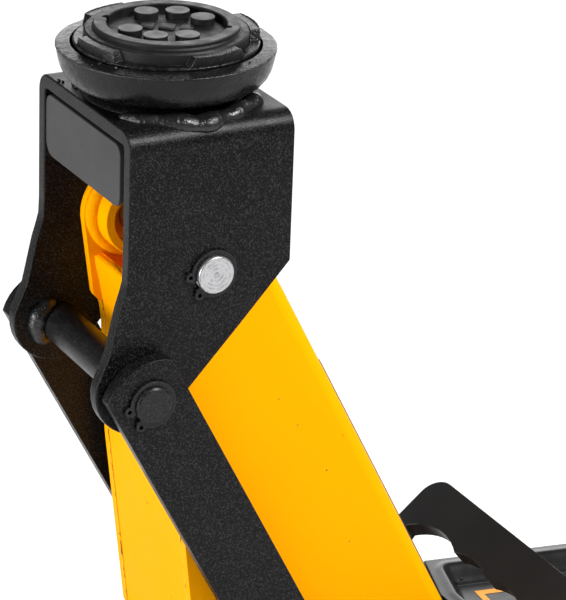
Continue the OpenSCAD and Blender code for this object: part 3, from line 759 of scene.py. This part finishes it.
def cover_height(x, y):
    """Pressed profile: flat rail, low bead, rolled wall and sunken floor with round corners."""
    past_x = abs(x + COVER_LEN / 2) - (COVER_LEN / 2 - COVER_CORNER)
    past_y = abs(y) - (COVER_HALF - COVER_CORNER)
    round_part = math.hypot(max(past_x, 0), max(past_y, 0))
    inside = COVER_CORNER - round_part - min(max(past_x, past_y), 0)
    bead_rise = BEAD_RISE * math.exp(-((inside - BEAD_IN) / BEAD_SPREAD) ** 2)
    fall = max(0, min(1, (inside - WALL_START) / WALL_WIDTH))
    return bead_rise - FLOOR_DEPTH * fall * fall * (3 - 2 * fall)


def top_cover():
    """The cover as one pressed sheet, with its front apron, a rivet and a plain label."""
    nx, ny = 86, 126
    verts, faces = [], []
    for i in range(nx + 1):
        for j in range(ny + 1):
            x, y = -COVER_LEN * i / nx, COVER_HALF * (1 - 2 * j / ny)
            verts.append(cover_point(x, y, cover_height(x, y) - 0.1))
    for i in range(nx):
        for j in range(ny):
            a = i * (ny + 1) + j
            faces.append((a, a + 1, a + ny + 2, a + ny + 1))
    sheet = new_piece("top_cover_sheet", "cover_black", "chassis", verts, faces)
    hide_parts("top_cover")
    wide = len(APRON_Y)
    verts = [cover_point(x, y, z) for x, z in APRON for y in APRON_Y]
    faces = [(a, a + 1, a + wide + 1, a + wide)
             for row in range(len(APRON) - 1) for a in range(row * wide, row * wide + wide - 1)]
    apron = new_piece("top_cover_apron", "cover_black", "chassis", verts, faces)
    for piece in (sheet, apron):
        thick = piece.modifiers.new("sheet", "SOLIDIFY")
        thick.thickness = 2 * MM
        thick.offset = -1
        soften = piece.modifiers.new("edge", "BEVEL")
        soften.width = 0.6 * MM
        soften.limit_method = "ANGLE"
        soften.angle_limit = math.radians(50)
    spots("cover_rivet", "cover_black", "chassis", [(cover_point(-21, -74, -4.4), 1.0)], lumps=0.1)
    label_frame()


def label_frame():
    """A plain orange square outline on the cover's floor, with nothing printed in it."""
    corners = ((0, 0), (LABEL_SIZE, 0), (LABEL_SIZE, LABEL_SIZE), (0, LABEL_SIZE))
    verts, faces = [], []
    for inset in (0, LABEL_BAND):
        for z in (-FLOOR_DEPTH, LABEL_THICK - FLOOR_DEPTH - 0.1):
            for x, y in corners:
                u = min(max(x, inset), LABEL_SIZE - inset)
                v = min(max(y, inset), LABEL_SIZE - inset)
                verts.append(cover_point(LABEL_X - u, LABEL_Y + v, z))
    for k in range(4):
        n = (k + 1) % 4
        for a, b in ((0, 4), (4, 12), (12, 8), (8, 0)):
            faces.append((a + k, a + n, b + n, b + k))
    label = new_piece("cover_label", "cover_black", "chassis", verts, faces, finish="label_orange")
    label.data.polygons.foreach_set("use_smooth", [False] * len(label.data.polygons))


# ---------- Chassis ----------

def chassis_details():
    """Welds of the floor plate and the castor wings."""
    plate_low, plate_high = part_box("base_plate")
    wing_low, wing_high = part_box("castor_wings")
    for side, tag in ((-1, "right"), (1, "left")):
        foot = [Vector((x, side * SIDE_IN, plate_low.z + 4 * MM))
                for x in (plate_low.x + 6 * MM, plate_high.x)]
        bead(f"floor_weld_{tag}", "black_powder", "chassis", foot, Vector((0, -side, 1)).normalized(),
             6, 2.6, "weld_black", ripple=3, lumps=0.2, step=1.0)
        for z, up, edge in ((wing_high.z, 1, "top"), (wing_low.z, -1, "under")):
            line = [Vector((x, side * SIDE_Y, z)) for x in (wing_low.x + 3 * MM, wing_high.x - 3 * MM)]
            bead(f"wing_weld_{edge}_{tag}", "black_powder", "chassis", line,
                 Vector((0, side, up)).normalized(), 6, 2.6, "weld_black", ripple=3, lumps=0.2)


# ---------- Springs ----------

def spring(node, slot, along, start, end, turns, radius, wire):
    """A coil spring with closed end turns, built between two places along one axis and tied to no
    body. The radius and the wire's radius are in millimetres."""
    centre = middle(node)
    across = Y if along == X else X
    up = along.cross(across)
    wire, radius, length = wire * MM, radius * MM, end - start
    closed = 1.2 / turns
    rings = []
    for i in range(turns * 24 + 1):
        share = i / (turns * 24)
        first = min(share, closed) / closed
        middle_part = max(0, min(1, (share - closed) / (1 - 2 * closed)))
        last = max(0, share - 1 + closed) / closed
        place = start + wire + 2 * wire * (first + last) + (length - 6 * wire) * middle_part
        angle = 2 * math.pi * i / 24
        out = across * math.cos(angle) + up * math.sin(angle)
        heart = centre + out * radius + along * (place - centre.dot(along))
        rings.append([heart + (out * math.cos(b) + along * math.sin(b)) * wire
                      for b in (2 * math.pi * k / 8 for k in range(8))])
    piece = new_piece(f"{node}_wire", slot, None, *skin(rings))
    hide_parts(node)
    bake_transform(piece)


def springs():
    """The two return springs and the plunger's spring, in place of their CAD nodes."""
    for tag in ("left", "right"):
        low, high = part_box(f"return_spring_{tag}")
        spring(f"return_spring_{tag}", "spring_steel", X, low.x, high.x,
               20, 4.6, 0.9)
    low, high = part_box("plunger_spring")
    spring("plunger_spring", "spring_steel", Z, low.z, high.z, 6, 10, 1)


make_camera()
make_studio()
dress_nodes()
saddle_details()
pad_bars()
carrier_details()
arm_details()
arm_chips()
arm_back_shade_strips()
top_cover()
chassis_details()
springs()
